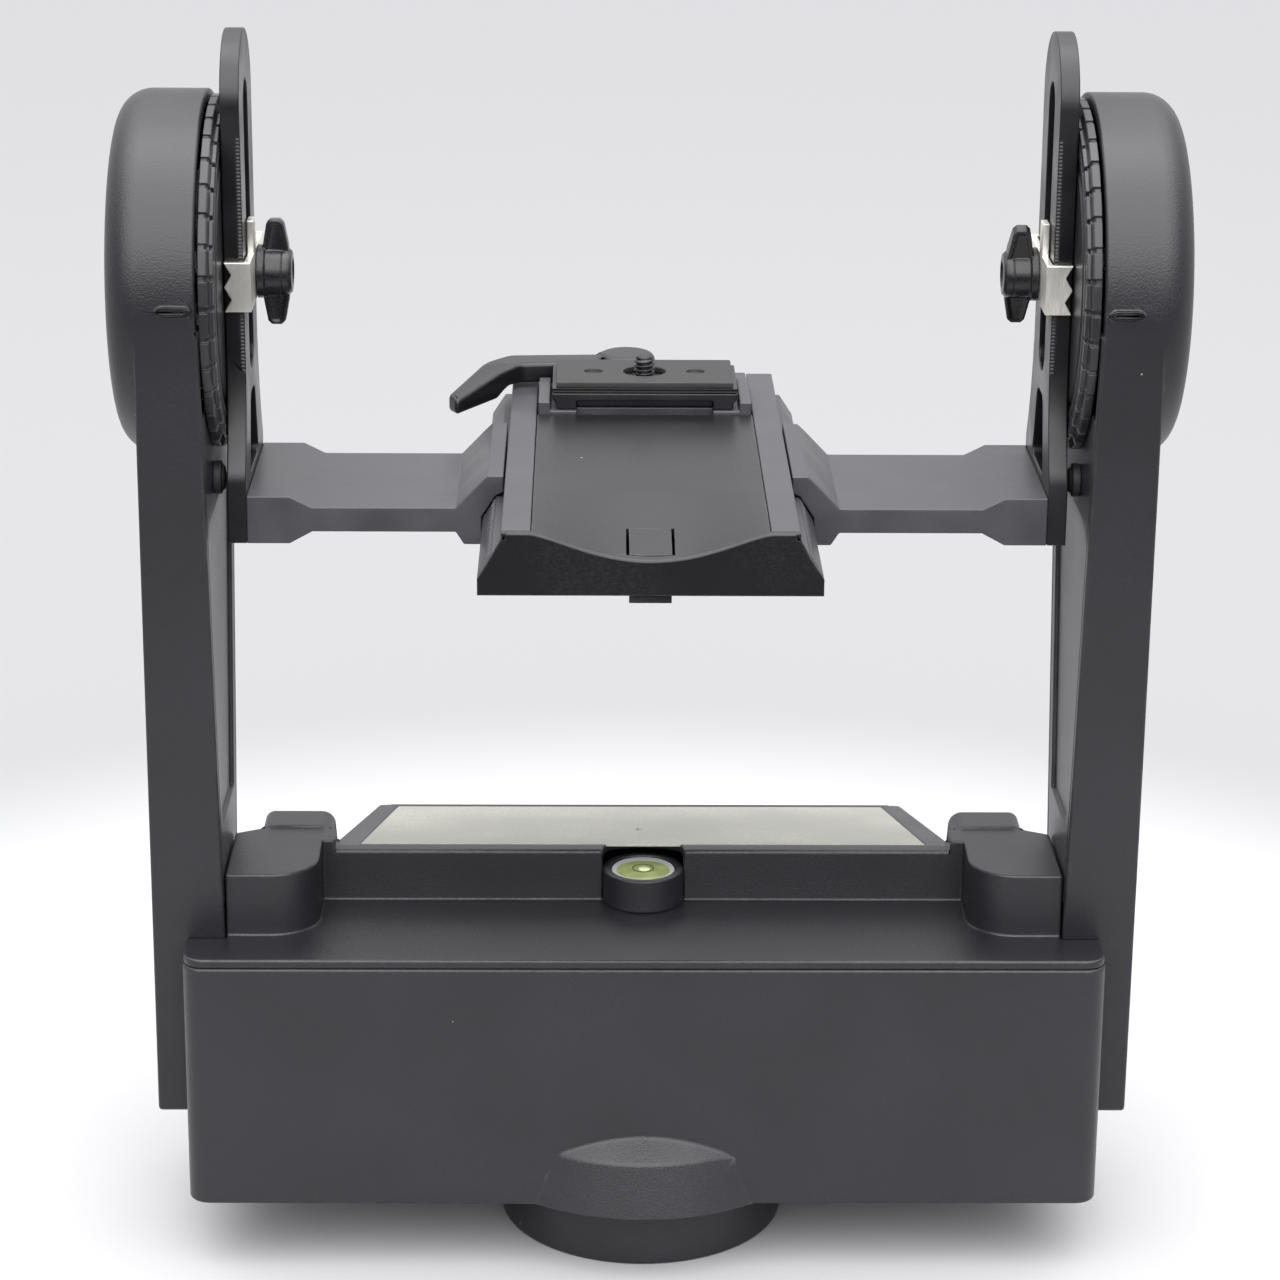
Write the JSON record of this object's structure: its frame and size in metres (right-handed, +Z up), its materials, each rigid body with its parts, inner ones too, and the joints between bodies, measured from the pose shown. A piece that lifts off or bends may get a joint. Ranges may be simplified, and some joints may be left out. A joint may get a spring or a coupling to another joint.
{
  "type": "panoramic tripod head",
  "caption": "Motorised pan and tilt head for a tripod: a panning base, geared tilt drums on uprights and a height-adjustable cradle with a sliding quick-release camera tray.",
  "frame": {"origin": "mouth of the tripod thread on the pan axis, in the plane of the mounting face", "axes": "+Z up along the pan axis, X along the tilt axis, -Y towards the lens side"},
  "size_m": [0.2866, 0.1736, 0.3478],
  "materials": {
    "housing": "fine moulded grain",
    "steel": "satin",
    "motor": "satin",
    "brass": "turned",
    "black_plastic": "satin",
    "anodised": "black anodised, fine blast",
    "nickel": "satin nickel",
    "faceplate": "matt film",
    "display": "smooth",
    "board": "solder mask",
    "vial": "clear",
    "rubber": "matt",
    "keys": "matt",
    "cable": "matt"
  },
  "bodies": {
    "mount": {"base_ring": "housing", "mount_plate": "steel", "thread_insert": "steel", "pan_gear": "steel", "gear_screws": "steel"},
    "chassis": {"base_shell": "housing", "top_cover": "housing", "faceplate": "faceplate", "rear_bezel": "black_plastic", "display_window": "display", "display_module": "board", "level_housing": "housing", "level_vial": "vial", "control_board": "board", "pan_bearing": "steel", "pan_motor": "motor", "pan_bracket": "steel", "dc_jack": "black_plastic", "trigger_jack": "black_plastic", "upright_left": "housing", "upright_right": "housing", "arm_cover_left": "housing", "arm_cover_right": "housing", "arm_bumpers": "rubber", "arm_bolts": "steel", "shell_screws": "steel", "tilt_bearings": "steel", "tilt_motor": "motor", "ribbon_cable": "cable"},
    "pan_pinion": {"pan_pinion": "brass"},
    "battery": {"battery_pack": "black_plastic"},
    "power": {"power_button": "keys"},
    "up_key": {"key_up": "keys"},
    "down_key": {"key_down": "keys"},
    "left_key": {"key_left": "keys"},
    "right_key": {"key_right": "keys"},
    "enter_key": {"key_enter": "keys"},
    "tilt": {"dial_left": "black_plastic", "dial_right": "black_plastic", "tilt_shaft_left": "steel", "tilt_shaft_right": "steel", "tilt_gear": "steel", "clamp_bracket_left": "nickel", "clamp_bracket_right": "nickel"},
    "tilt_pinion": {"tilt_pinion": "brass"},
    "left_knob": {"knob_left": "black_plastic"},
    "right_knob": {"knob_right": "black_plastic"},
    "cradle": {"side_plate_left": "anodised", "side_plate_right": "anodised", "crossbar": "anodised", "crossbar_screws": "steel"},
    "tray": {"tray_frame": "anodised", "tray_cover": "black_plastic", "clamp_base": "anodised"},
    "latch": {"tray_latch": "black_plastic"},
    "plate": {"release_plate": "anodised", "plate_pad": "rubber"},
    "screw": {"camera_screw": "steel"},
    "lever": {"clamp_lever": "black_plastic"}
  },
  "joints": [
    {"name": "pan", "type": "hinge", "parent": "mount", "child": "chassis", "pos_m": [0, 0, 0], "axis": [0, 0, 1], "continuous": true},
    {"name": "pan_pinion_spin", "type": "hinge", "parent": "chassis", "child": "pan_pinion", "pos_m": [0, 0.03615, 0.03], "axis": [0, 0, 1], "continuous": true},
    {"name": "battery_slide", "type": "slide", "parent": "chassis", "child": "battery", "axis": [0, 1, 0], "range_m": [0, 0.06]},
    {"name": "power_press", "type": "slide", "parent": "chassis", "child": "power", "axis": [0, -1, 0], "range_m": [0, 0.001], "stiffness_N_per_m": 400, "springref_m": -0.001},
    {"name": "tilt", "type": "hinge", "parent": "chassis", "child": "tilt", "pos_m": [0, 0, 0.2815], "axis": [-1, 0, 0], "range_deg": [-65, 90]},
    {"name": "tilt_pinion_spin", "type": "hinge", "parent": "chassis", "child": "tilt_pinion", "pos_m": [-0.125, 0, 0.24835], "axis": [-1, 0, 0], "range_deg": [-406, 294]},
    {"name": "left_knob_turn", "type": "hinge", "parent": "tilt", "child": "left_knob", "pos_m": [-0.102, 0, 0.2815], "axis": [1, 0, 0], "continuous": true},
    {"name": "right_knob_turn", "type": "hinge", "parent": "tilt", "child": "right_knob", "pos_m": [0.102, 0, 0.2815], "axis": [1, 0, 0], "continuous": true},
    {"name": "cradle_height", "type": "slide", "parent": "tilt", "child": "cradle", "axis": [0, 0, 1], "range_m": [-0.046, 0.015]},
    {"name": "tray_slide", "type": "slide", "parent": "cradle", "child": "tray", "axis": [0, 1, 0], "range_m": [-0.025, 0.025]},
    {"name": "latch_press", "type": "slide", "parent": "tray", "child": "latch", "axis": [0, 0, -1], "range_m": [0, 0.0012], "stiffness_N_per_m": 500, "springref_m": -0.0008},
    {"name": "plate_lift", "type": "slide", "parent": "tray", "child": "plate", "axis": [0, 0, 1], "range_m": [0, 0.012]},
    {"name": "camera_screw_turn", "type": "hinge", "parent": "plate", "child": "screw", "pos_m": [0, 0.051, 0.24], "axis": [0, 0, 1], "continuous": true},
    {"name": "lever_swing", "type": "hinge", "parent": "tray", "child": "lever", "pos_m": [-0.005, 0.074, 0.236], "axis": [0, 0, 1], "range_deg": [-70, 0]},
    {"name": "up_key_press", "type": "slide", "parent": "chassis", "child": "up_key", "axis": [0, -0.9333, -0.359], "range_m": [0, 0.001], "stiffness_N_per_m": 300, "springref_m": -0.001},
    {"name": "down_key_press", "type": "slide", "parent": "chassis", "child": "down_key", "axis": [0, -0.9333, -0.359], "range_m": [0, 0.001], "stiffness_N_per_m": 300, "springref_m": -0.001},
    {"name": "left_key_press", "type": "slide", "parent": "chassis", "child": "left_key", "axis": [0, -0.9333, -0.359], "range_m": [0, 0.001], "stiffness_N_per_m": 300, "springref_m": -0.001},
    {"name": "right_key_press", "type": "slide", "parent": "chassis", "child": "right_key", "axis": [0, -0.9333, -0.359], "range_m": [0, 0.001], "stiffness_N_per_m": 300, "springref_m": -0.001},
    {"name": "enter_key_press", "type": "slide", "parent": "chassis", "child": "enter_key", "axis": [0, -0.9333, -0.359], "range_m": [0, 0.001], "stiffness_N_per_m": 300, "springref_m": -0.001}
  ],
  "couplings": [
    {"joint": "pan_pinion_spin", "follows": "pan", "ratio": 5},
    {"joint": "tilt_pinion_spin", "follows": "tilt", "ratio": -4.5}
  ]
}
